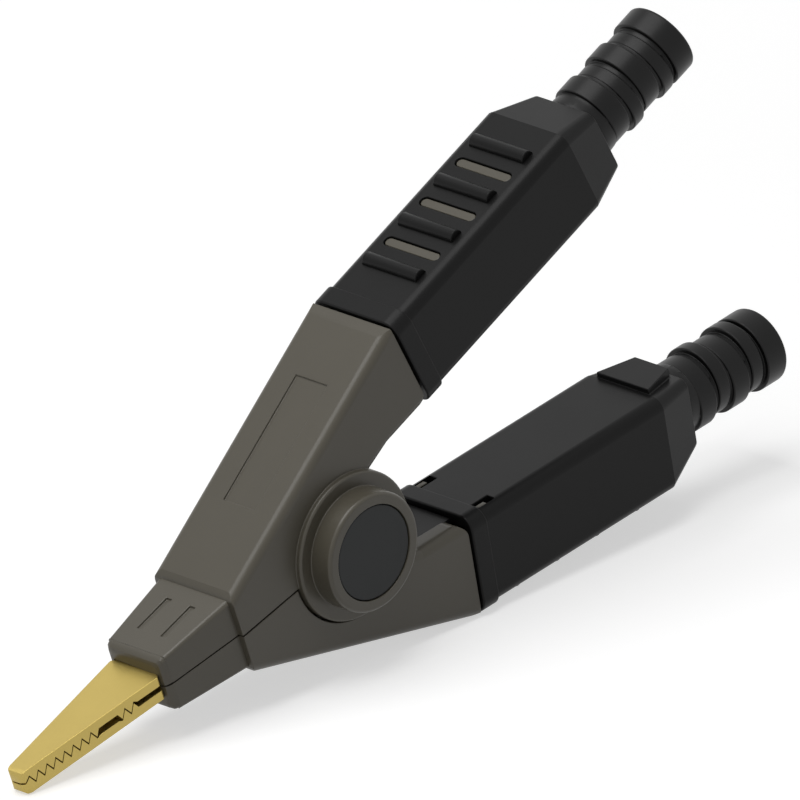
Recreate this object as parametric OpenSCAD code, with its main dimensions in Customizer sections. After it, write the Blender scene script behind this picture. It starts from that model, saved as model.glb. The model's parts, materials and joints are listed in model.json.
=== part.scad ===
// Spring test clip: two mirrored levers on one pivot, flat toothed contact jaws, sleeved grips, cable boots.
// Lengths in millimetres. Each half is drawn in the closed clip's own frame: pivot at the origin along Y,
// jaws towards -X, parting plane at Z = 0. The whole clip is then tilted on to its resting points.

/* [Body] */
// Width of the lever bodies and grips
body_w = 13.3; // [12.5:0.1:15]
// Distance from the pivot axis to the sloping outer face
face_d = 13.1; // [12.6:0.1:14.5]
// Slope of the outer faces against the parting plane
face_slope = 25.1; // [24:0.1:26.5]
// Wall thickness of the levers
wall = 1.6; // [1.3:0.05:1.9]
// Rounding of the long outer edges
body_round = 1.2; // [0.6:0.1:1.6]
// Distance from the pivot to the front shoulder
shoulder = 19.1; // [18.5:0.1:20]

/* [Hub] */
// Radius of the pivot flange
flange_r = 9.2; // [8.8:0.1:9.6]
// Radius of the raised ring on the flange
ring_r = 7.4; // [7:0.1:8]
// Radius of the dark cap in the ring
cap_r = 5.85; // [5.2:0.05:6.2]
// Height of the flange above the body's side
flange_h = 0.75; // [0.5:0.05:1.2]
// Height of the ring above the flange
ring_h = 3.1; // [2.6:0.1:3.6]
// Diameter of the pivot axle
axle_d = 4; // [3.6:0.1:4.4]

/* [Nose] */
// Length of the nose in front of the shoulder
nose_l = 11.45; // [10:0.05:13]
// Half width of the nose at its root
nose_w = 5.85; // [5.4:0.05:6.1]
// Half height of the nose at its root
nose_h = 4.95; // [4.5:0.05:5.1]

/* [Jaws] */
// Length of jaw that shows in front of the nose
jaw_l = 21.65; // [20:0.05:26]
// Thickness of one jaw
jaw_t = 1.6; // [1.4:0.05:1.8]
// Half width of a jaw at the nose
jaw_w = 3.95; // [3.6:0.05:4.2]
// Half width of a jaw at its tip
tip_w = 1.35; // [1:0.05:2]
// Pitch of the teeth
tooth_p = 1.36; // [1.1:0.02:1.5]
// Depth of the teeth
tooth_h = 1.2; // [0.8:0.05:1.3]

/* [Grip] */
// Angle of each grip to the parting plane
grip_a = 9.1; // [8.5:0.1:10.5]
// Distance of the grip's outer face from the pivot, square to the grip
grip_out = 18.55; // [18.2:0.05:19.2]
// Thickness of the grip
grip_t = 12.5; // [12:0.1:13]
// Rounding of the grip's long edges
grip_round = 1.6; // [1:0.1:2]
// Length of the grip behind its front band, up to the rear taper
grip_l = 30.6; // [29:0.1:36]
// Distance between grip ribs
rib_p = 6.86; // [6.4:0.01:7.4]
// Radius of the half-round grip ribs
rib_r = 0.95; // [0.7:0.05:1.2]

/* [Boot] */
// Diameter of the boot's end collar
boot_d = 9.65; // [9:0.05:10]
// Diameter of the cable bore
cable_d = 5; // [4:0.1:5.6]
// Length of the boot's longer segments
seg_l = 2.75; // [2.2:0.05:3]

/* [Spring] */
// Wire diameter of the torsion spring
wire_d = 1; // [0.8:0.05:1.1]

/* [Hidden] */
$fn = 64;
gap = 0.1;
seat = 0.25;
fine = 0.015;
shell = "#6b675e";
black = "#262627";
gold = "#c4ae6c";
steel = "#a9abad";
slate = "#33383a";

half_w = body_w / 2;
in_w = half_w - wall;
face_rise = face_d / cos(face_slope);
function face_z(x) = face_rise + x * tan(face_slope);
function gb(x, z) = [x * cos(grip_a) - z * sin(grip_a), x * sin(grip_a) + z * cos(grip_a)];
function face_zg(x) = (face_rise + x * (cos(grip_a) * tan(face_slope) - sin(grip_a)))
    / (cos(grip_a) + sin(grip_a) * tan(face_slope));

// Stations along the grip, counted from the pivot along the grip
bend_x = 16.8;
body_end = 18.4;
grip_x = body_end + seat;
band_l = 2.6;
band_h = 0.33;
taper_x = grip_x + band_l + grip_l;
taper_l = 5.8;
grip_end = taper_x + taper_l;
grip_in = grip_out - grip_t;
rear_w = half_w - 1.55;
rear_h = boot_d / 2 - 0.1;
boot_z = grip_in + 0.6 + rear_h;
boot_neck = 1.95;
seg_short = seg_l - 0.9;
seg_gap = 0.55;
seg_pair = seg_l + seg_short + 2 * seg_gap;
seg_step = 0.3;
collar_l = 3.3;
collar_edge = 0.4;
seg_edge = 0.2;
side_t = 1.15;
top_t = 1.6;
tongue_w = half_w - side_t - gap;
tongue_top = grip_out - top_t - gap / 2;
tongue_low = grip_in + 2.25;
tongue_t = 1.3;
tongue_end = taper_x - 3;
rim_zg = grip_in + 0.1;
rim_r = 2;
rim_toe = gb(3.5, rim_zg - 1.5);
rim_knee = gb(11, rim_zg);
rim_back = gb(body_end - rim_r, rim_zg);
rim_edge = 1.5;
rim_shy = 0.03;
lip_y = 3.8;
lip_h = 2.1;
shoulder_edge = 0.7;

// Pivot stack, half lengths along Y
ear_in = in_w - 0.3;
flange_y = half_w + flange_h;
ring_y = flange_y + ring_h;
floor_y = flange_y - 0.25;
inner_ear_t = 1.6;
inner_ear_out = ear_in - 0.2;
inner_ear_in = inner_ear_out - inner_ear_t;
inner_ear_r = flange_r - 1;
ear_web = 13;
axle_r = axle_d / 2;
head_r = axle_r + 1.4;
cap_gap = 0.08;
flange_edge = 0.35;
ring_edge = 0.5;
cap_edge = 0.2;

// Jaw stations along -X
nose_x = shoulder + nose_l;
nose_draft = 0.099;
nose_round = 1;
nose_edge = 0.6;
tip_x = nose_x + jaw_l;
root_r = 0.5;
tang_w = jaw_w - root_r;
neck_w = 2.6;
neck_x = shoulder - 0.6;
tang_end = flange_r + 0.1;
screw_x = 15.9;
boss_r = 2.3;
screw_r = 0.85;
pan_r = 1.9;
term_x = screw_x - boss_r - pan_r - 0.2;
tooth_start = tip_x - 0.45;
tooth_n = 8;
slot_h = 0.33;
slot_lead = 0.5;
root_slot_l = 4.37;
root_slot_h = 0.26;
jaw_gap = 0.06;

// Spring
coil_r = axle_r + 2.1;
leg_a = 55;
leg_end = 3;
leg_y = inner_ear_in - 0.2 - wire_d / 2;
turns = floor(2 * leg_y / (1.04 * wire_d) - 0.25);
bush_r = coil_r - wire_d / 2 - 0.25;

// The closed clip rests on the lower jaw's tip and on the front edge of the lower grip's band
band_foot = gb(grip_x, grip_out + band_h);
rest_tilt = atan((band_foot[1] - jaw_t + 0.15) / (band_foot[0] + tip_x - 0.3));
rest_h = band_foot[1] * cos(rest_tilt) - band_foot[0] * sin(rest_tilt);

// Centre of the length, between the upper jaw's tip and the end of the lower boot
function tilt_x(p) = p[0] * cos(rest_tilt) - p[1] * sin(rest_tilt);
boot_end = grip_end + boot_neck + 2 * seg_pair + collar_l;
boot_foot = gb(boot_end, boot_z + boot_d / 2 - collar_edge);
place_x = -(tilt_x([-tip_x, jaw_t - 0.5]) + tilt_x([boot_foot[0], -boot_foot[1]])) / 2;

module placed() {
    translate([place_x, 0, rest_h]) rotate([0, -rest_tilt, 0]) children();
}

module upper() {
    placed() children();
}

module lower() {
    placed() mirror([0, 0, 1]) children();
}

module grip_frame() {
    rotate([0, -grip_a, 0]) children();
}

// Side view extruded across Y, between two half widths
module side_slab(h) {
    rotate([90, 0, 0]) linear_extrude(h, center = true) children();
}

module both_sides() {
    children();
    mirror([0, 1, 0]) children();
}

// Cross-section in Y and Z extruded along X
module along_x(x, l) {
    translate([x, 0, 0]) rotate([90, 0, 90]) linear_extrude(l) children();
}

// Cylinder along Y from y0 to y1 on the near side
module disc_y(r, y0, y1) {
    translate([0, -y0, 0]) rotate([90, 0, 0]) cylinder(r = r, h = y1 - y0);
}

module round_rect(w, z0, z1, r) {
    translate([-w, z0 + r]) square([2 * w, z1 - z0 - 2 * r]);
    translate([-w + r, z0]) square([2 * w - 2 * r, z1 - z0]);
    for (y = [-w + r, w - r])
        for (z = [z0 + r, z1 - r])
            translate([y, z]) circle(r);
}

// The same outline as one polygon, for the tapered ends
function corner(c, r, a, n) = [for (i = [0:n]) c + r * [cos(a + 90 * i / n), sin(a + 90 * i / n)]];
function round_points(w, z0, z1, r, n) = concat(
    corner([w - r, z1 - r], r, 0, n),
    corner([-w + r, z1 - r], r, 90, n),
    corner([-w + r, z0 + r], r, 180, n),
    corner([w - r, z0 + r], r, 270, n)
);

// Turned disc along Z with rounded rims, as far as each rim's radius
module turned(r, h, low_e, high_e) {
    rotate_extrude() polygon(concat(
        [[0, 0]],
        low_e > 0 ? corner([r - low_e, low_e], low_e, 270, 4) : [[r, 0]],
        high_e > 0 ? corner([r - high_e, h - high_e], high_e, 0, 4) : [[r, h]],
        [[0, h]]
    ));
}

// The same along Y on the near side, with its outer rim rounded
module turned_y(r, y0, y1, e) {
    translate([0, -y0, 0]) rotate([90, 0, 0]) turned(r, y1 - y0, 0, e);
}

// Body outline in side view, upper half
module body_outline() {
    polygon([
        [-shoulder, gap],
        [-shoulder, face_z(-shoulder) - shoulder_edge],
        [-shoulder + 0.25 * shoulder_edge, face_z(-shoulder) - 0.3 * shoulder_edge],
        [-shoulder + shoulder_edge, face_z(-shoulder + shoulder_edge)],
        gb(bend_x, face_zg(bend_x)),
        gb(body_end, face_zg(bend_x)),
        gb(body_end, rim_zg + rim_r),
        gb(body_end - rim_r, rim_zg + rim_r),
        rim_back,
        rim_knee,
        rim_toe,
        [0, gap]
    ]);
    translate(gb(body_end - rim_r, rim_zg + rim_r)) circle(rim_r);
}

// Everything under the rounded long edges of the outer face
module rounded_bar() {
    rotate([0, -face_slope, 0]) along_x(-boot_end, 2 * boot_end) round_rect(half_w, -boot_end, face_d, body_round);
}

module body_solid() {
    intersection() {
        side_slab(body_w) body_outline();
        rounded_bar();
    }
}

module body_cavity() {
    roof = wall / cos(face_slope);
    front = shoulder - 2.2;
    side_slab(2 * in_w) polygon([
        [-front, -1],
        [-front, face_z(-front) - roof],
        gb(bend_x, face_zg(bend_x) - wall),
        gb(body_end + 1, face_zg(bend_x) - wall),
        gb(body_end + 1, rim_zg - 4),
        [0, -1]
    ]);
}

// Tapered nose with softened front edge
module nose_solid() {
    front_w = nose_w - nose_draft * nose_l;
    front_h = nose_h - nose_draft * nose_l;
    intersection() {
        union() {
            mirror([1, 0, 0]) along_x(shoulder - 2.3, 2.4) round_rect(nose_w, -nose_h, nose_h, nose_edge);
            nose_slice(shoulder + 0.05, nose_x - nose_round, nose_w - fine, nose_h - fine, front_w, front_h);
            for (i = [0:2])
                nose_slice(
                    nose_x - nose_round * (1 - sin(30 * i)) - fine,
                    nose_x - nose_round * (1 - sin(30 * i + 30)),
                    front_w - nose_round * (1 - cos(30 * i)) - fine,
                    front_h - nose_round * (1 - cos(30 * i)) - fine,
                    front_w - nose_round * (1 - cos(30 * i + 30)) - fine,
                    front_h - nose_round * (1 - cos(30 * i + 30)) - fine
                );
        }
        translate([-nose_x - 1, -half_w, gap]) cube([nose_l + 4, body_w, nose_h + 1]);
    }
}

// Stretch of the nose from x0 to x1, tapering from w0 by h0 to w1 by h1
module nose_slice(x0, x1, w0, h0, w1, h1) {
    translate([-x0, 0, 0]) rotate([90, 0, -90])
        linear_extrude(x1 - x0, scale = [w1 / w0, h1 / h0], slices = 1)
            polygon(round_points(w0, -h0, h0, nose_edge, 6));
}

module nose_slots() {
    lean = atan(nose_draft);
    for (y = [-1.95, 1.95])
        translate([-shoulder - 7.7, y - 0.45, nose_h - nose_draft * 7.7 - 0.35])
            rotate([0, -lean, 0]) cube([5.5, 0.9, 2]);
}

// Room for the jaw's plate and tang, its screw and the terminal
module jaw_room() {
    translate([-nose_x - 1, -tang_w - gap, -1]) cube([nose_l + 1.5, 2 * (tang_w + gap), 1 + jaw_t + gap / 2]);
    translate([-shoulder - 1, -neck_w - 1.3, -1]) cube([shoulder - 7, 2 * neck_w + 2.6, 1 + jaw_t + gap / 2]);
}

module jaw_boss() {
    intersection() {
        translate([-screw_x, 0, jaw_t + gap / 2]) cylinder(r = boss_r, h = face_rise);
        body_solid();
    }
}

// Rounding of the near wall's rim from p to q, run on by x0 and x1 at its ends
module rim_cut(p, q, x0, x1) {
    e = rim_edge;
    outside = half_w + 1;
    translate([p[0], 0, p[1] - rim_shy]) rotate([0, -atan((q[1] - p[1]) / (q[0] - p[0])), 0])
        along_x(-x0, norm(q - p) + x0 + x1) polygon(concat(
            corner([e - half_w - rim_shy, e], e, 180, 4),
            [[e - half_w - rim_shy, -1], [-outside, -1], [-outside, e]]
        ));
}

// Rounding of the side wall's inner rim, run out round the rear corner
module rim_round() {
    rim_cut(rim_knee, rim_back, 0.15, rim_r + 0.5);
    rim_cut(rim_toe, rim_knee, 1, 0.15);
}

module label_recess() {
    rotate([0, -face_slope, 0]) translate([-3.7, -2.62, face_d - 0.25]) cube([17.35, 5.24, 2]);
}

// Channel that carries the grip, with the three pads that show in the grip and the two catches
module tongue() {
    grip_frame() {
        difference() {
            translate([body_end - 3, -tongue_w, tongue_low])
                cube([tongue_end - body_end + 3, 2 * tongue_w, tongue_top - tongue_low]);
            translate([0, -tongue_w + tongue_t, 0])
                cube([tongue_end + 1, 2 * (tongue_w - tongue_t), tongue_top - tongue_t]);
        }
        for (i = [0:2])
            translate([pad_x(i), 0, tongue_top - 0.2]) pad_shape(pad_w, pad_l, grip_out - pad_in - tongue_top + 0.2);
        both_sides()
            translate([catch_x, -tongue_w + 0.05, grip_in + 0.15])
                cube([catch_l, 0.75, tongue_low - grip_in + 0.35]);
    }
}

pad_w = 1.21;
pad_l = 8.76;
pad_first = grip_x + band_l + 8.8;
pad_in = 0.18;
rib_w = 4.45;
function pad_x(i) = pad_first + i * rib_p;
catch_x = grip_x + 3.1;
catch_l = 1.4;
catch_room = 2.7;

// Flat oblong with round ends, long across Y
module pad_shape(w, l, h) {
    translate([-w / 2, -l / 2 + w / 2, 0]) cube([w, l - w, h]);
    for (y = [-l / 2 + w / 2, l / 2 - w / 2])
        translate([0, y, 0]) cylinder(d = w, h = h);
}

module lever_half() {
    difference() {
        union() {
            difference() {
                body_solid();
                body_cavity();
            }
            nose_solid();
            jaw_boss();
            tongue();
            cover_ledges();
        }
        jaw_room();
        translate([-screw_x, 0, 0]) cylinder(r = screw_r + gap / 2, h = jaw_t + 3);
        nose_slots();
        label_recess();
        both_sides() rim_round();
    }
}

// Inner cover between hub and grip, just below the rims
cover_z = rim_zg + 0.3;
cover_t = 0.9;
cover_front = (ear_web / 2 + 0.15 + (cover_z + cover_t) * sin(grip_a)) / cos(grip_a);

// Inward lips of the rims, and the ledges under them that carry the cover
module cover_ledges() {
    intersection() {
        both_sides() grip_frame() {
            translate([rim_toe[0], -in_w - 0.2, rim_zg - 1]) cube([body_end, in_w + 0.2 - lip_y, lip_h + 1]);
            translate([cover_front + 2, -lip_y - 0.2, cover_z + cover_t])
                cube([body_end, 0.9, lip_h - cover_t - cover_z + rim_zg]);
        }
        side_slab(body_w) body_outline();
    }
}

module inner_cover() {
    color(black) grip_frame() translate([cover_front, gap - lip_y, cover_z])
        cube([body_end + gap - cover_front, 2 * (lip_y - gap), cover_t]);
}

// Upper lever: outer ears with flange and ring carry the axle
module hub_ears() {
    both_sides() difference() {
        union() {
            turned_y(flange_r, ear_in, flange_y, flange_edge);
            turned_y(ring_r, flange_y - 0.1, ring_y, ring_edge);
        }
        disc_y(cap_r + cap_gap, floor_y, ring_y + 1);
        disc_y(axle_r + 0.01, 0, ring_y);
    }
}

module upper_lever() {
    color(shell) upper() {
        difference() {
            lever_half();
            both_sides() disc_y(flange_r - 0.2, 0, flange_y + 1);
        }
        hub_ears();
    }
}

// Lower lever: inner ears turn on the axle, and the side walls are cut back round the flange
module inner_ears() {
    intersection() {
        both_sides() difference() {
            union() {
                disc_y(inner_ear_r, inner_ear_in, inner_ear_out);
                translate([0, -inner_ear_in, 0]) rotate([90, 0, 0]) linear_extrude(inner_ear_t)
                    translate([-ear_web / 2, 0]) square([ear_web, boot_end]);
                translate([-ear_web / 2, -in_w - 0.2, flange_r + 0.6])
                    cube([ear_web, in_w + 0.2 - inner_ear_in, 10]);
            }
            disc_y(axle_r + 0.05, 0, half_w);
        }
        union() {
            disc_y(inner_ear_r + 0.1, -half_w, half_w);
            body_solid();
            side_slab(body_w - 0.2) translate([-ear_web / 2, 0]) square([ear_web, 8]);
        }
    }
}

module lower_lever() {
    color(shell) lower() {
        difference() {
            lever_half();
            both_sides() disc_y(flange_r + seat, 0, flange_y + 1);
        }
        inner_ears();
    }
}

// Toothed contact plate with tang; half turns the teeth by half a pitch so that the two jaws mesh
function tooth_row(x0, first, last, up) = [
    for (i = [first:last]) [x0 + i * tooth_p / 2, ((i % 2 == 0) == up ? 1 : -1) * tooth_h / 2 + jaw_gap]
];

module jaw_profile(up) {
    row_end = -tooth_start + tooth_n * tooth_p;
    root_slot = -nose_x - root_slot_l;
    second = root_slot - 1.5 * tooth_p;
    polygon(concat(
        [[-tip_x, jaw_gap]],
        [[-tooth_start, jaw_gap]],
        tooth_row(-tooth_start, 1, 2 * tooth_n, up),
        [[row_end + slot_lead, slot_h + jaw_gap]],
        [[second - slot_lead, slot_h + jaw_gap]],
        tooth_row(second, 0, 3, up),
        [[root_slot + slot_lead, root_slot_h + jaw_gap]],
        [[-nose_x, root_slot_h + jaw_gap]],
        [[-nose_x + 0.4, gap]],
        [[-tang_end, gap]],
        [[-tang_end, jaw_t]],
        [[-tip_x + 0.9, jaw_t]],
        [[-tip_x + 0.3, jaw_t - 0.15]],
        [[-tip_x, jaw_t - 0.5]]
    ));
}

module jaw_plan() {
    r = 0.9;
    polygon(concat(
        corner([-tip_x + r, tip_w - r], r, 90, 8),
        corner([-tip_x + r, r - tip_w], r, 180, 8),
        corner([-nose_x - root_r, -tang_w], root_r, 270, 4),
        [
            [-neck_x, -tang_w],
            [-neck_x, -neck_w],
            [-tang_end, -neck_w],
            [-tang_end, neck_w],
            [-neck_x, neck_w],
            [-neck_x, tang_w]
        ],
        corner([-nose_x - root_r, tang_w], root_r, 0, 4)
    ));
}

module jaw(up) {
    color(gold) difference() {
        intersection() {
            side_slab(2 * jaw_w + 1) jaw_profile(up);
            translate([0, 0, -1]) linear_extrude(jaw_t + 2) jaw_plan();
        }
        translate([-screw_x, 0, -1]) cylinder(r = screw_r + 0.2, h = jaw_t + 2);
        translate([-screw_x, 0, -0.01]) cylinder(r1 = screw_r + 1.2, r2 = screw_r + 0.2, h = 1.1);
        translate([-term_x, 0, -1]) cylinder(r = 0.95, h = jaw_t + 2);
    }
}

// Countersunk screw that holds the jaw to the lever's boss
module jaw_screw() {
    color(steel) difference() {
        union() {
            translate([-screw_x, 0, gap + 0.1]) cylinder(r1 = screw_r + 1, r2 = screw_r, h = 1);
            translate([-screw_x, 0, gap + 1]) cylinder(r = screw_r, h = jaw_t + 1.5);
        }
        translate([-screw_x - 1.2, -0.2, 0]) cube([2.4, 0.4, gap + 0.5]);
    }
}

// Pan head screw that holds the conductor on the tang
module terminal_screw() {
    color(steel) difference() {
        union() {
            translate([-term_x, 0, gap + 0.15]) cylinder(r = 0.9, h = jaw_t);
            translate([-term_x, 0, jaw_t]) cylinder(r = pan_r, h = 0.4);
            translate([-term_x, 0, jaw_t + 0.4]) cylinder(r = pan_r - 0.2, h = 1.1);
        }
        translate([-term_x - 2, -0.25, jaw_t + 0.9]) cube([4, 0.5, 1]);
    }
}

// Sleeve with front band, grip ribs, pad windows, catch windows, rear taper and stop pad
module grip_solid() {
    sy = rear_w / half_w;
    sz = 2 * rear_h / grip_t;
    z0 = (boot_z + rear_h - grip_out * sz) / (1 - sz);
    along_x(grip_x, band_l + grip_l) round_rect(half_w, grip_in, grip_out, grip_round);
    along_x(grip_x, band_l)
        round_rect(half_w + band_h, grip_in - band_h, grip_out + band_h, grip_round + band_h);
    translate([taper_x - 0.1, 0, z0]) rotate([90, 0, 90])
        linear_extrude(taper_l + 0.1, scale = [sy, sz], slices = 1) polygon(
            round_points(half_w - fine, grip_in - z0 + fine, grip_out - z0 - fine, grip_round, 8)
        );
    for (i = [0:3])
        translate([pad_first + (i - 0.5) * rib_p, rib_w, grip_out - 0.02])
            rotate([90, 0, 0]) cylinder(r = rib_r, h = 2 * rib_w);
    translate([0, 0, stop_z]) linear_extrude(boot_z - stop_z - 2) polygon([
        [taper_x + 0.15, -stop_w],
        [taper_x + 0.15, stop_w],
        [taper_x + stop_l, stop_w - 1.55],
        [taper_x + stop_l, 1.55 - stop_w]
    ]);
}

stop_z = grip_in - 0.67;
stop_w = 4.35;
stop_l = 5.25;
bore_in = 3.6;

module grip_body() {
    color(black) grip_frame() difference() {
        grip_solid();
        translate([0, -tongue_w - gap, grip_in + side_t])
            cube([tongue_end + 1.4, 2 * (tongue_w + gap), tongue_top + gap / 2 - grip_in - side_t]);
        translate([tongue_end, 0, boot_z]) rotate([0, 90, 0]) cylinder(r = bore_in, h = 30);
        for (i = [0:2])
            translate([pad_x(i), 0, tongue_top - 0.3]) pad_shape(pad_w + 0.24, pad_l + 0.24, 5);
        both_sides()
            translate([catch_x - gap, -tongue_w + 0.05 - gap, grip_in - 2])
                cube([catch_room, 1.3, 2 + side_t + 0.5]);
    }
}

// Cable boot: stem and flange inside the grip, staggered segments and an end collar outside
module boot() {
    r = boot_d / 2;
    seg_r = r - 0.24;
    core_r = seg_r - seg_step - 0.06;
    seg_x = grip_end + boot_neck;
    color(black) grip_frame() translate([0, 0, boot_z]) rotate([0, 90, 0]) difference() {
        union() {
            translate([0, 0, tongue_end + 0.1]) cylinder(r = rear_h - side_t + 0.525, h = 1.3);
            translate([0, 0, tongue_end + 0.1]) cylinder(r = bore_in - 0.05, h = grip_end - tongue_end);
            translate([0, 0, grip_end]) cylinder(r1 = r - 0.2, r2 = r - 0.4, h = boot_neck + 0.1);
            translate([0, 0, grip_end]) cylinder(r = core_r, h = boot_end - grip_end - 1);
            for (x = [seg_x, seg_x + seg_pair]) {
                translate([-seg_step, 0, x]) turned(seg_r, seg_l, seg_edge, seg_edge);
                translate([seg_step, 0, x + seg_l + seg_gap]) turned(seg_r, seg_short, seg_edge, seg_edge);
            }
            translate([0, 0, boot_end - collar_l]) turned(r, collar_l, seg_edge, collar_edge);
        }
        translate([0, 0, tongue_end - 1]) cylinder(r = cable_d / 2, h = boot_end);
    }
}

module pivot_axle() {
    color(steel) upper() difference() {
        union() {
            disc_y(axle_r, -floor_y, floor_y + 1.3);
            disc_y(head_r, -floor_y - 1.2, -floor_y);
        }
        difference() {
            disc_y(axle_r + 1, floor_y + 0.05, floor_y + 0.75);
            disc_y(axle_r - 0.45, 0, floor_y + 2);
        }
    }
}

// Retaining clip in the axle's groove
module axle_clip() {
    color(steel) upper() difference() {
        disc_y(head_r, floor_y + 0.08, floor_y + 0.7);
        disc_y(axle_r - 0.42, 0, floor_y + 2);
        translate([0, -floor_y - 2, -axle_r + 0.5]) cube([6, 4, 2 * axle_r - 1]);
    }
}

module cap() {
    color(slate) difference() {
        turned_y(cap_r, floor_y, ring_y - 0.15, cap_edge);
        disc_y(cap_r - 0.9, floor_y - 1, floor_y + 1.7);
    }
}

module near_cap() {
    upper() cap();
}

module far_cap() {
    upper() mirror([0, 1, 0]) cap();
}

module spring_bush() {
    color(black) upper() difference() {
        disc_y(bush_r, -inner_ear_in + 0.1, inner_ear_in - 0.1);
        disc_y(axle_r + 0.05, -half_w, half_w);
    }
}

// Torsion spring: centre line of coil and legs, swept with a round wire
leg_d = face_d - wall - wire_d / 2 - 0.05;
leg_b = leg_a - face_slope;
leg_t = (leg_d - coil_r * cos(leg_b)) / sin(leg_b);
coil_a0 = 90 + leg_a;
coil_turn = 360 * turns - 2 * leg_a - 180 + 360;
coil_steps = 24 * turns;
function on_coil(a, y) = [coil_r * cos(a), y, coil_r * sin(a)];
function leg_point(t) = [-coil_r * sin(leg_a) + t * cos(leg_a), leg_y, coil_r * cos(leg_a) + t * sin(leg_a)];
function leg_tip() = leg_point(leg_t) + leg_end * [cos(face_slope), 0, sin(face_slope)];
function flip(p) = [p[0], -p[1], -p[2]];
wire_path = concat(
    [leg_tip(), leg_point(leg_t), leg_point(leg_t - 1), leg_point(3)],
    [for (i = [0:coil_steps])
        on_coil(coil_a0 + coil_turn * i / coil_steps, leg_y - 2 * leg_y * i / coil_steps)],
    [flip(leg_point(3)), flip(leg_point(leg_t - 1)), flip(leg_point(leg_t)), flip(leg_tip())]
);

function unit(v) = v / norm(v);
function along(p, i) = unit(p[min(i + 1, len(p) - 1)] - p[max(i - 1, 0)]);
function ring(p, i, n) = let (
    d = along(p, i),
    u = unit(cross([0, 1, 0.001], d)),
    v = cross(d, u)
) [for (k = [0:n - 1]) p[i] + wire_d / 2 * (cos(360 * k / n) * u + sin(360 * k / n) * v)];

module swept_wire(p, n) {
    last = len(p) - 1;
    points = [for (i = [0:last]) each ring(p, i, n)];
    sides = [for (i = [0:last - 1]) for (k = [0:n - 1])
        [i * n + k, i * n + (k + 1) % n, (i + 1) * n + (k + 1) % n, (i + 1) * n + k]];
    ends = [[for (k = [0:n - 1]) n - 1 - k], [for (k = [0:n - 1]) last * n + k]];
    polyhedron(points, concat(sides, ends), 4);
}

module torsion_spring() {
    color(steel) placed() swept_wire(wire_path, 10);
}

module lower_jaw() {
    lower() jaw(true);
}

module upper_jaw() {
    upper() jaw(false);
}

module lower_jaw_screw() {
    lower() jaw_screw();
}

module upper_jaw_screw() {
    upper() jaw_screw();
}

module lower_terminal_screw() {
    lower() terminal_screw();
}

module upper_terminal_screw() {
    upper() terminal_screw();
}

module lower_cover() {
    lower() inner_cover();
}

module upper_cover() {
    upper() inner_cover();
}

module lower_grip() {
    lower() grip_body();
}

module upper_grip() {
    upper() grip_body();
}

module lower_boot() {
    lower() boot();
}

module upper_boot() {
    upper() boot();
}

lower_lever();
lower_jaw();
lower_jaw_screw();
lower_terminal_screw();
lower_cover();
lower_grip();
lower_boot();
upper_lever();
upper_jaw();
upper_jaw_screw();
upper_terminal_screw();
upper_cover();
upper_grip();
upper_boot();
pivot_axle();
axle_clip();
near_cap();
far_cap();
spring_bush();
torsion_spring();
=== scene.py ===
"""Looks of the test clip: camera, studio, finishes, and softened skins in place of its plain solids."""

import json
import math

import bmesh
import bpy
from mathutils import Matrix, Vector
from mathutils.bvhtree import BVHTree


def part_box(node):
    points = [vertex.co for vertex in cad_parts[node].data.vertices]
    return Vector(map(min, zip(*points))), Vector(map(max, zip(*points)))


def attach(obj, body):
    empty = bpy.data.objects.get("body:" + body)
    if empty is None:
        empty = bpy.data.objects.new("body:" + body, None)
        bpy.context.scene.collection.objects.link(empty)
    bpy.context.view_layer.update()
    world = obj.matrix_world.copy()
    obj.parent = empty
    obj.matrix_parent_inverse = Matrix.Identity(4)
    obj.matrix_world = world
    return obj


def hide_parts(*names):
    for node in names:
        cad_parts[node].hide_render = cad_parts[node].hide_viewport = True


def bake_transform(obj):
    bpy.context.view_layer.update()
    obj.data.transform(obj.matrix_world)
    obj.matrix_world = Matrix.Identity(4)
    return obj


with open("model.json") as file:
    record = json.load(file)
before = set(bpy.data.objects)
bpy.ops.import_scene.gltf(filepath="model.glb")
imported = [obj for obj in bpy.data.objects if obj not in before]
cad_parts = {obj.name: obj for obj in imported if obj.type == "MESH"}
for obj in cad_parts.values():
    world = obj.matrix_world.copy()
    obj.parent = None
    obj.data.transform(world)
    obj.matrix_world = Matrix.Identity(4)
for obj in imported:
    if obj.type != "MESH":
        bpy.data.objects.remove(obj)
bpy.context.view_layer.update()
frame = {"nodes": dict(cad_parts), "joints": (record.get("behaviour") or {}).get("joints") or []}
nodes = frame["nodes"]
pivot = Vector(frame["joints"][0]["pos_m"])

# Lengths are in metres, the fine ones written in millimetres
MM = 0.001

# Photograph: nearly parallel view of the tipped clip, from the near left and a little from above
PHOTO_PX = 800
PX_PER_MM = 8.5
PIVOT_PX = (311.5, 531.1)
VIEW_TURN = math.radians(45)
VIEW_RISE = math.radians(20)
CLIP_TIP = math.radians(4.345)
LENS_MM = 1600
SENSOR_MM = 36
CAMERA_REACH = 20


def view_axes():
    """Right, up and back of the camera, in the clip's own frame."""
    tip = Matrix.Rotation(CLIP_TIP, 3, "Y")
    right = Vector((math.cos(VIEW_TURN), -math.sin(VIEW_TURN), 0))
    level = Vector((-math.sin(VIEW_TURN), -math.cos(VIEW_TURN), 0))
    back = level * math.cos(VIEW_RISE) + Vector((0, 0, math.sin(VIEW_RISE)))
    up = back.cross(right)
    return tip @ right, tip @ up, tip @ back


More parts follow.
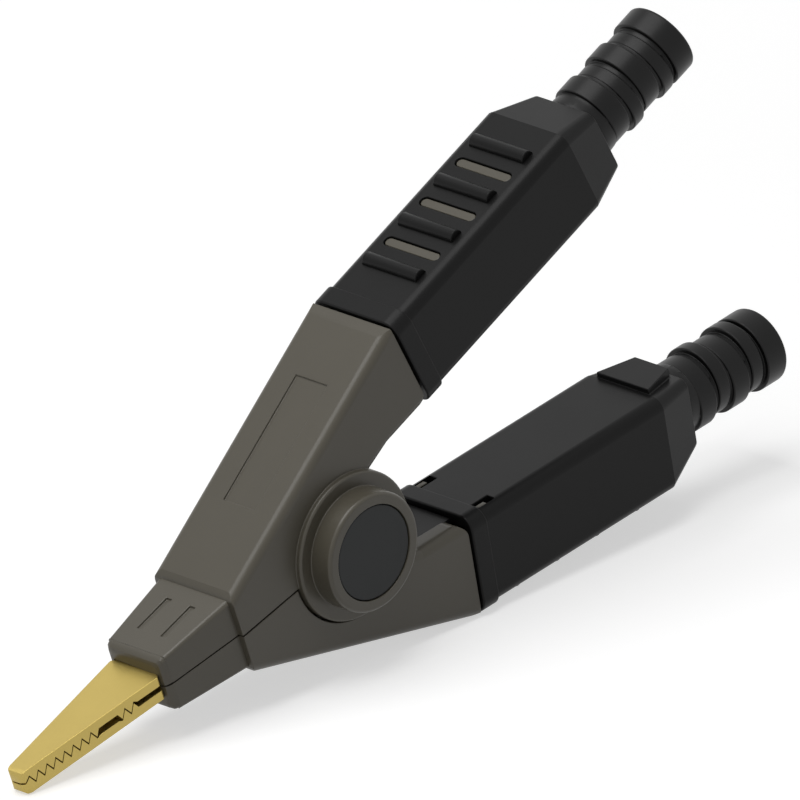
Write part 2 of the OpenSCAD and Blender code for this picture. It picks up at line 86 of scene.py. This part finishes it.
def add_camera():
    """Camera that shows the pivot at its pixel of the photograph, at the photograph's scale."""
    right, up, back = view_axes()
    off_x = (PHOTO_PX / 2 - PIVOT_PX[0]) / PX_PER_MM * MM
    off_y = (PIVOT_PX[1] - PHOTO_PX / 2) / PX_PER_MM * MM
    target = pivot + right * off_x + up * off_y
    field = PHOTO_PX / PX_PER_MM * MM
    distance = field * LENS_MM / SENSOR_MM
    data = bpy.data.cameras.new("photo_camera")
    data.lens = LENS_MM
    data.sensor_width = SENSOR_MM
    data.clip_end = CAMERA_REACH
    camera = bpy.data.objects.new("photo_camera", data)
    bpy.context.collection.objects.link(camera)
    turn = Matrix((right, up, back)).transposed().to_4x4()
    camera.matrix_world = Matrix.Translation(target + back * distance) @ turn
    bpy.context.scene.camera = camera


# Studio
ROOM_LIGHT = 0.15
FLOOR_SIZE = 6
FLOOR_DROP = 0.2 * MM
FLOOR_WHITE = 0.58
FLOOR_ROUGHNESS = 0.9
FLOOR_SPECULAR = 0.1
FLOOR_GLOW = 0.57
FAR_GLOW = 0.95
FADE_START = 0.15
FADE_END = 1.2
CLIP_MIDDLE = (0, 0, 0.03)


def add_soft_lamp(name, place, length, width, power, target=None):
    """Soft box that faces straight down, or the target."""
    data = bpy.data.lights.new(name, "AREA")
    data.shape = "RECTANGLE"
    data.size = length
    data.size_y = width
    data.energy = power
    lamp = bpy.data.objects.new(name, data)
    bpy.context.collection.objects.link(lamp)
    lamp.location = place
    if target:
        lamp.rotation_euler = (Vector(target) - Vector(place)).to_track_quat("-Z", "Y").to_euler()


def add_math(tree, operation, first, second):
    """Math node on two values, each a number or a socket."""
    node = tree.nodes.new("ShaderNodeMath")
    node.operation = operation
    for socket, value in zip(node.inputs, (first, second)):
        if isinstance(value, (int, float)):
            socket.default_value = value
        else:
            tree.links.new(value, socket)
    return node.outputs["Value"]


def seen_rays(tree):
    """Mask of the rays that show the background: to the camera, in reflections and through glass."""
    path = tree.nodes.new("ShaderNodeLightPath")
    mirrored = add_math(tree, "MAXIMUM", path.outputs["Is Glossy Ray"], path.outputs["Is Transmission Ray"])
    return add_math(tree, "MAXIMUM", path.outputs["Is Camera Ray"], mirrored)


def add_room():
    """White all round for the seen rays, with only a little light from it on the clip."""
    world = bpy.data.worlds.new("white_room")
    bpy.context.scene.world = world
    world.use_nodes = True
    tree = world.node_tree
    background = tree.nodes["Background"]
    background.inputs["Color"].default_value = (1, 1, 1, 1)
    strength = tree.nodes.new("ShaderNodeMapRange")
    strength.inputs["To Min"].default_value = ROOM_LIGHT
    strength.inputs["To Max"].default_value = 1
    tree.links.new(seen_rays(tree), strength.inputs["Value"])
    tree.links.new(strength.outputs["Result"], background.inputs["Strength"])


def add_fade(tree):
    """Glow of the floor: low by the clip, where it keeps the shadow, and near white further off."""
    place = tree.nodes.new("ShaderNodeTexCoord")
    distance = tree.nodes.new("ShaderNodeVectorMath")
    distance.operation = "LENGTH"
    tree.links.new(place.outputs["Object"], distance.inputs[0])
    fade = tree.nodes.new("ShaderNodeMapRange")
    fade.inputs["From Min"].default_value = FADE_START
    fade.inputs["From Max"].default_value = FADE_END
    fade.inputs["To Min"].default_value = FLOOR_GLOW
    fade.inputs["To Max"].default_value = FAR_GLOW
    tree.links.new(distance.outputs["Value"], fade.inputs["Value"])
    return fade.outputs["Result"]


def add_floor():
    """White paper just under the clip."""
    bpy.ops.object.select_all(action="DESELECT")
    bpy.ops.mesh.primitive_plane_add(size=FLOOR_SIZE, location=(0, 0, -FLOOR_DROP))
    floor = bpy.context.object
    floor.name = "floor"
    paper = bpy.data.materials.new("white_paper")
    paper.use_nodes = True
    tree = paper.node_tree
    shader = tree.nodes["Principled BSDF"]
    shader.inputs["Base Color"].default_value = (FLOOR_WHITE, FLOOR_WHITE, FLOOR_WHITE, 1)
    shader.inputs["Roughness"].default_value = FLOOR_ROUGHNESS
    shader.inputs["Specular IOR Level"].default_value = FLOOR_SPECULAR
    shader.inputs["Emission Color"].default_value = (1, 1, 1, 1)
    glow = add_math(tree, "MULTIPLY", seen_rays(tree), add_fade(tree))
    tree.links.new(glow, shader.inputs["Emission Strength"])
    floor.data.materials.append(paper)


def add_studio():
    bpy.context.scene.view_settings.view_transform = "Standard"
    add_room()
    add_floor()
    add_soft_lamp("overhead_lamp", place=(-0.28, 0.08, 0.92), length=0.72, width=0.8, power=7.4)
    add_soft_lamp("left_lamp", place=(-0.6, -0.15, 0.45), length=0.45, width=0.45, power=0.3,
                  target=CLIP_MIDDLE)


# Effects shared by the finishes
NOISE_MIDDLE = 0.5
CLOUD_SHARE = 0.6
GRAIN_SHARE = 0.4
HANDLED_SCALE = 0.6
BUMP_STRENGTH = 0.5
SURFACE_INPUTS = [
    ("Colour", "NodeSocketColor", (0.5, 0.5, 0.5, 1)),
    ("Roughness", "NodeSocketFloat", 0.45),
    ("Roughness Spread", "NodeSocketFloat", 0.1),
    ("Mottle", "NodeSocketFloat", 0.1),
    ("Mottle Scale", "NodeSocketFloat", 160),
    ("Grain Scale", "NodeSocketFloat", 5000),
]
SURFACE_OUTPUTS = [
    ("Colour", "NodeSocketColor"),
    ("Roughness", "NodeSocketFloat"),
    ("Height", "NodeSocketFloat"),
]


def new_group(name, inputs, outputs):
    """Empty node group with its sockets, and its input and output nodes."""
    group = bpy.data.node_groups.new(name, "ShaderNodeTree")
    for label, kind, value in inputs:
        socket = group.interface.new_socket(label, in_out="INPUT", socket_type=kind)
        socket.default_value = value
    for label, kind in outputs:
        group.interface.new_socket(label, in_out="OUTPUT", socket_type=kind)
    return group, group.nodes.new("NodeGroupInput"), group.nodes.new("NodeGroupOutput")


def add_noise(group, vector, scale, detail, roughness=0.5):
    noise = group.nodes.new("ShaderNodeTexNoise")
    noise.inputs["Detail"].default_value = detail
    noise.inputs["Roughness"].default_value = roughness
    group.links.new(vector, noise.inputs["Vector"])
    group.links.new(scale, noise.inputs["Scale"])
    return noise.outputs["Fac"]


def add_spread(group, noise, middle, spread):
    """Middle value, moved up and down by the noise within the spread."""
    centred = add_math(group, "SUBTRACT", noise, NOISE_MIDDLE)
    moved = add_math(group, "MULTIPLY", centred, spread)
    return add_math(group, "ADD", middle, moved)


def add_tint(group, colour, brightness):
    scaled = group.nodes.new("ShaderNodeVectorMath")
    scaled.operation = "SCALE"
    group.links.new(colour, scaled.inputs["Vector"])
    group.links.new(brightness, scaled.inputs["Scale"])
    return scaled.outputs["Vector"]


def make_surface_group(name, stretch):
    """Mottled colour, uneven gloss and fine grain; stretch draws the grain out along the clip."""
    group, start, end = new_group(name, SURFACE_INPUTS, SURFACE_OUTPUTS)
    given = start.outputs
    place = group.nodes.new("ShaderNodeTexCoord").outputs["Object"]
    mapping = group.nodes.new("ShaderNodeMapping")
    mapping.inputs["Scale"].default_value = stretch
    group.links.new(place, mapping.inputs["Vector"])
    drawn = mapping.outputs["Vector"]
    clouds = add_noise(group, place, given["Mottle Scale"], detail=4, roughness=0.6)
    grain = add_noise(group, drawn, given["Grain Scale"], detail=3)
    handled_scale = add_math(group, "MULTIPLY", given["Mottle Scale"], HANDLED_SCALE)
    handled = add_noise(group, drawn, handled_scale, detail=5, roughness=0.65)
    cloud_part = add_math(group, "MULTIPLY", clouds, CLOUD_SHARE)
    grain_part = add_math(group, "MULTIPLY", grain, GRAIN_SHARE)
    mottle = add_math(group, "ADD", cloud_part, grain_part)
    brightness = add_spread(group, mottle, 1, given["Mottle"])
    roughness = add_spread(group, handled, given["Roughness"], given["Roughness Spread"])
    group.links.new(add_tint(group, given["Colour"], brightness), end.inputs["Colour"])
    group.links.new(roughness, end.inputs["Roughness"])
    group.links.new(grain, end.inputs["Height"])
    return group


def make_finish(name, group, colour, roughness, roughness_spread, mottle, mottle_scale, grain_scale, relief,
                metallic=0, specular=0.5):
    """Material with the effects of a surface group; relief is the depth of its grain in millimetres."""
    material = bpy.data.materials.new(name)
    material.use_nodes = True
    tree = material.node_tree
    shader = tree.nodes["Principled BSDF"]
    shader.inputs["Metallic"].default_value = metallic
    shader.inputs["Specular IOR Level"].default_value = specular
    surface = tree.nodes.new("ShaderNodeGroup")
    surface.node_tree = group
    surface.inputs["Colour"].default_value = (*colour, 1)
    surface.inputs["Roughness"].default_value = roughness
    surface.inputs["Roughness Spread"].default_value = roughness_spread
    surface.inputs["Mottle"].default_value = mottle
    surface.inputs["Mottle Scale"].default_value = mottle_scale
    surface.inputs["Grain Scale"].default_value = grain_scale
    bump = tree.nodes.new("ShaderNodeBump")
    bump.inputs["Strength"].default_value = BUMP_STRENGTH
    bump.inputs["Distance"].default_value = relief * MM
    tree.links.new(surface.outputs["Height"], bump.inputs["Height"])
    tree.links.new(bump.outputs["Normal"], shader.inputs["Normal"])
    tree.links.new(surface.outputs["Colour"], shader.inputs["Base Color"])
    tree.links.new(surface.outputs["Roughness"], shader.inputs["Roughness"])
    return material


def make_finishes():
    """Finish of each material slot: moulded plastic and rubber, and drawn metal."""
    moulded = make_surface_group("moulded_skin", stretch=(1, 1, 1))
    drawn = make_surface_group("drawn_metal", stretch=(0.08, 1, 1))
    return {
        "shell": make_finish(
            "shell_grey", moulded, colour=(0.079, 0.071, 0.053), specular=0.38, roughness=0.36,
            roughness_spread=0.1, mottle=0.16, mottle_scale=220, grain_scale=6500, relief=0.004),
        "sleeve": make_finish(
            "sleeve_black", moulded, colour=(0.006, 0.006, 0.006), specular=0.135, roughness=0.36,
            roughness_spread=0.1, mottle=0.2, mottle_scale=180, grain_scale=5000, relief=0.005),
        "boot": make_finish(
            "boot_rubber", moulded, colour=(0.003, 0.003, 0.003), specular=0.21, roughness=0.35,
            roughness_spread=0.1, mottle=0.24, mottle_scale=260, grain_scale=4500, relief=0.006),
        "bush": make_finish(
            "bush_black", moulded, colour=(0.03, 0.03, 0.03), roughness=0.4,
            roughness_spread=0.1, mottle=0.1, mottle_scale=300, grain_scale=4000, relief=0.006),
        "cap": make_finish(
            "cap_slate", moulded, colour=(0.0145, 0.0162, 0.0165), specular=0.22, roughness=0.42,
            roughness_spread=0.12, mottle=0.14, mottle_scale=260, grain_scale=5500, relief=0.004),
        "contact": make_finish(
            "contact_gold", drawn, colour=(0.45, 0.345, 0.104), metallic=1, roughness=0.42,
            roughness_spread=0.14, mottle=0.14, mottle_scale=240, grain_scale=9000, relief=0.004),
        "steel": make_finish(
            "screw_steel", drawn, colour=(0.55, 0.56, 0.57), metallic=1, roughness=0.34,
            roughness_spread=0.14, mottle=0.12, mottle_scale=300, grain_scale=9000, relief=0.008),
        "spring_wire": make_finish(
            "spring_steel", drawn, colour=(0.5, 0.5, 0.51), metallic=1, roughness=0.3,
            roughness_spread=0.1, mottle=0.12, mottle_scale=400, grain_scale=9000, relief=0.006),
    }


# Skins: how a solid's triangles are joined
MERGE = 0.04 * MM
FINE_MERGE = 0.001 * MM
SLIVER = 0.003 * MM
FLAT_ANGLE = math.radians(0.5)

# Which edges are rounded: the room that they need and how far a point may stray, as shares of the width
HARD_ANGLE = math.radians(30)
SHARP_TURN = math.radians(40)
EDGE_SEGMENTS = 3
CORNER_ROOM = 2
FACE_ROOM = 1.2
STRAY_ROOM = 0.75

# Width of the rounding on each piece
LEVER_EDGE = 0.12 * MM
JAW_EDGE = 0.07 * MM
COVER_EDGE = 0.08 * MM
GRIP_EDGE = 0.12 * MM
BAND_EDGE = 0.24 * MM
BOOT_EDGE = 0.1 * MM
SCREW_EDGE = 0.06 * MM
CAP_EDGE = 0.1 * MM
BUSH_EDGE = 0.1 * MM
AXLE_EDGE = 0.08 * MM
CLIP_EDGE = 0.06 * MM


def start_skin(node, merge=MERGE):
    """New piece in the shape of a solid: its loose triangles merged and its flat faces joined."""
    bpy.ops.object.select_all(action="DESELECT")
    skin = bpy.data.objects.new(node + "_skin", nodes[node].data.copy())
    bpy.context.collection.objects.link(skin)
    skin.select_set(True)
    bpy.context.view_layer.objects.active = skin
    if skin.data.has_custom_normals:
        bpy.ops.mesh.customdata_custom_splitnormals_clear()
    bpy.ops.object.mode_set(mode="EDIT")
    bpy.ops.mesh.select_all(action="SELECT")
    bpy.ops.mesh.remove_doubles(threshold=merge)
    bpy.ops.mesh.dissolve_limited(angle_limit=FLAT_ANGLE)
    bpy.ops.object.mode_set(mode="OBJECT")
    return skin


def open_shape(skin, kind):
    """Opens a skin for work on its points, edges or faces, with nothing selected."""
    bpy.ops.object.mode_set(mode="EDIT")
    bpy.ops.mesh.select_mode(type=kind)
    bpy.ops.mesh.select_all(action="DESELECT")
    return bmesh.from_edit_mesh(skin.data)


def is_corner(vertex, hard):
    """True where hard edges end, branch or turn sharply."""
    arms = [edge for edge in vertex.link_edges if edge in hard]
    if len(arms) != 2:
        return bool(arms)
    ways = [edge.other_vert(vertex).co - vertex.co for edge in arms]
    return (-ways[0]).angle(ways[1]) > SHARP_TURN


def select_roomy_edges(skin, width):
    """Selects the hard edges with room for a rounding: not on a narrow face or by a short corner edge."""
    shape = open_shape(skin, "EDGE")
    plain = [edge for edge in shape.edges if edge.smooth and edge.is_manifold]
    hard = {edge for edge in plain if edge.calc_face_angle() > HARD_ANGLE}
    tight = set()
    for edge in shape.edges:
        short = edge.calc_length() < CORNER_ROOM * width
        if short and any(is_corner(vertex, hard) for vertex in edge.verts):
            tight.update(edge.verts)
    for edge in hard:
        least = FACE_ROOM * width * edge.calc_length()
        narrow = any(face.calc_area() < least for face in edge.link_faces)
        edge.select_set(not narrow and tight.isdisjoint(edge.verts))
    bmesh.update_edit_mesh(skin.data)


def settle_strays(skin, solid, width):
    """Sets a point that the rounding pushed off the solid back on it."""
    for vertex in skin.data.vertices:
        place, _, _, distance = solid.find_nearest(vertex.co)
        if distance > STRAY_ROOM * width:
            vertex.co = place


def drop_fins(skin):
    """Takes out faces that stand on the skin with an open edge, or lie back to back on each other."""
    shape = bmesh.from_edit_mesh(skin.data)
    known = {}
    fins = set()
    for face in shape.faces:
        corners = frozenset(face.verts)
        if corners in known:
            fins.update((face, known[corners]))
        known[corners] = face
        if any(edge.is_boundary for edge in face.edges):
            fins.add(face)
    bmesh.ops.delete(shape, geom=list(fins), context="FACES")
    bmesh.update_edit_mesh(skin.data)


def clear_slivers(skin):
    """Merges points that lie on each other, and takes out faces and edges with no size."""
    bpy.ops.object.mode_set(mode="EDIT")
    bpy.ops.mesh.select_all(action="SELECT")
    bpy.ops.mesh.remove_doubles(threshold=FINE_MERGE)
    bpy.ops.mesh.dissolve_degenerate(threshold=SLIVER)
    drop_fins(skin)
    bpy.ops.object.mode_set(mode="OBJECT")


def soften_edges(skin, width):
    """Rounds the hard edges, and keeps the flat faces flat in the light."""
    solid = BVHTree.FromObject(skin, bpy.context.evaluated_depsgraph_get())
    select_roomy_edges(skin, width)
    bpy.ops.mesh.bevel(offset=width, segments=EDGE_SEGMENTS, affect="EDGES", clamp_overlap=False)
    bpy.ops.object.mode_set(mode="OBJECT")
    settle_strays(skin, solid, width)
    clear_slivers(skin)
    bpy.ops.object.shade_smooth_by_angle(angle=HARD_ANGLE, keep_sharp_edges=True)
    flat = skin.modifiers.new("flat_faces", "WEIGHTED_NORMAL")
    flat.keep_sharp = True
    bpy.ops.object.modifier_apply(modifier=flat.name)


def finish_skin(skin, node, slot, finishes):
    """Gives a skin its finish, and puts it in place of its solid."""
    skin.data.materials.clear()
    skin.data.materials.append(finishes[slot])
    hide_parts(node)


def add_skin(node, body, slot, width, finishes):
    """Skin of a piece that needs nothing but its edges rounded."""
    skin = start_skin(node)
    soften_edges(skin, width)
    finish_skin(skin, node, slot, finishes)
    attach(skin, body)


# Levers: the short bent edges where a long rounded ridge ends
MITRE_ANGLES = (math.radians(11), math.radians(62))
MITRE_LENGTH = 1 * MM
RIDGE_LENGTH = 5 * MM


def mark_mitres(skin):
    """Parts the light on a long rounded ridge from the flat face that its end runs into."""
    shape = open_shape(skin, "EDGE")
    for edge in shape.edges:
        bent = edge.is_manifold and MITRE_ANGLES[0] < edge.calc_face_angle() < MITRE_ANGLES[1]
        longest = [max(side.calc_length() for side in face.edges) for face in edge.link_faces]
        edge.select_set(bent and edge.calc_length() < MITRE_LENGTH and max(longest) > RIDGE_LENGTH)
    bmesh.update_edit_mesh(skin.data)
    bpy.ops.mesh.mark_sharp()
    bpy.ops.object.mode_set(mode="OBJECT")


def add_lever(half, finishes):
    node = half + "_lever"
    skin = start_skin(node)
    mark_mitres(skin)
    soften_edges(skin, LEVER_EDGE)
    finish_skin(skin, node, "shell", finishes)
    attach(skin, half)


# Slopes of the closed clip as it lies: its parting plane, and the grips on either side of that
REST_TILT = math.radians(16.655)
GRIP_ANGLE = math.radians(9.1)
GRIP_TILT = {"lower": REST_TILT - GRIP_ANGLE, "upper": REST_TILT + GRIP_ANGLE}

# Grips: the band's front edge, and the fine step at the rear taper
BAND_SEGMENTS = 4
LEVEL = 0.01 * MM
WALL_LEAN = 0.5
STEP_CORNERS = 8
STEP_WIDTH = 0.06 * MM
STEP_MERGE = 0.18 * MM


def close_step(skin):
    """Draws the fine step where a grip's rear taper starts together into one edge."""
    shape = open_shape(skin, "FACE")
    for face in shape.faces:
        run = sum(edge.calc_length() for edge in face.edges) / 2
        face.select_set(len(face.verts) > STEP_CORNERS and face.calc_area() < STEP_WIDTH * run)
    bmesh.update_edit_mesh(skin.data)
    bpy.ops.mesh.select_mode(type="VERT")
    bpy.ops.mesh.remove_doubles(threshold=STEP_MERGE)
    bpy.ops.mesh.select_mode(type="EDGE")
    bpy.ops.mesh.mark_sharp()
    bpy.ops.object.mode_set(mode="OBJECT")


def round_band(skin, half):
    """Rounds the outer front edge of the band, so that it catches the light."""
    axis = Vector((math.cos(GRIP_TILT[half]), 0, math.sin(GRIP_TILT[half])))
    shape = open_shape(skin, "EDGE")
    front = min(vertex.co.dot(axis) for vertex in shape.verts) + LEVEL
    rim = [edge for edge in shape.edges if all(vertex.co.dot(axis) < front for vertex in edge.verts)]
    middle = sum((edge.verts[0].co for edge in rim), Vector()) / len(rim)
    for edge in rim:
        outward = edge.verts[0].co - middle
        walls = [face for face in edge.link_faces if abs(face.normal.dot(axis)) < WALL_LEAN]
        edge.select_set(any(face.normal.dot(outward) > 0 for face in walls))
    bmesh.update_edit_mesh(skin.data)
    bpy.ops.mesh.bevel(offset=BAND_EDGE, segments=BAND_SEGMENTS, affect="EDGES", clamp_overlap=False)
    bpy.ops.object.mode_set(mode="OBJECT")


def add_grip(half, finishes):
    node = half + "_grip"
    skin = start_skin(node, FINE_MERGE)
    close_step(skin)
    round_band(skin, half)
    soften_edges(skin, GRIP_EDGE)
    finish_skin(skin, node, "sleeve", finishes)
    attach(skin, half)


# Jaws: how far the toothed edge reaches from the parting plane, and how far it is drawn back
TOOTH_ROOT = 0.7 * MM
TOOTH_BACK = 0.06 * MM
NOSE_MARGIN = 0.06 * MM


def part_teeth(skin, half):
    """Draws the toothed edge back from the other jaw, which leaves a dark line between the two."""
    away = Vector((-math.sin(REST_TILT), 0, math.cos(REST_TILT)))
    if half == "lower":
        away.negate()
    nose_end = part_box(half + "_lever")[0][0] + NOSE_MARGIN
    shape = open_shape(skin, "VERT")
    for vertex in shape.verts:
        vertex.select_set(vertex.co.x < nose_end and (vertex.co - pivot).dot(away) < TOOTH_ROOT)
    bmesh.update_edit_mesh(skin.data)
    bpy.ops.transform.translate(value=away * TOOTH_BACK)
    bpy.ops.object.mode_set(mode="OBJECT")


def add_jaw(half, finishes):
    node = half + "_jaw"
    skin = start_skin(node)
    part_teeth(skin, half)
    soften_edges(skin, JAW_EDGE)
    finish_skin(skin, node, "contact", finishes)
    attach(skin, half)


# Spring: how the wire is smoothed
WIRE_ANGLE = math.radians(50)


def add_spring(finishes):
    """Wound spring with its wire shaded smooth, attached to neither lever."""
    skin = start_skin("torsion_spring")
    bpy.ops.object.shade_smooth_by_angle(angle=WIRE_ANGLE)
    finish_skin(skin, "torsion_spring", "spring_wire", finishes)
    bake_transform(skin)


def dress(finishes):
    """Puts a skin in place of every solid of the clip."""
    for half in ("lower", "upper"):
        add_lever(half, finishes)
        add_jaw(half, finishes)
        add_skin(half + "_cover", half, "sleeve", COVER_EDGE, finishes)
        add_grip(half, finishes)
        add_skin(half + "_boot", half, "boot", BOOT_EDGE, finishes)
        for screw in ("_jaw_screw", "_terminal_screw"):
            add_skin(half + screw, half, "steel", SCREW_EDGE, finishes)
    for side in ("near", "far"):
        add_skin(side + "_cap", "upper", "cap", CAP_EDGE, finishes)
    add_skin("spring_bush", "upper", "bush", BUSH_EDGE, finishes)
    add_skin("pivot_axle", "upper", "steel", AXLE_EDGE, finishes)
    add_skin("axle_clip", "upper", "steel", CLIP_EDGE, finishes)
    add_spring(finishes)


add_camera()
add_studio()
dress(make_finishes())
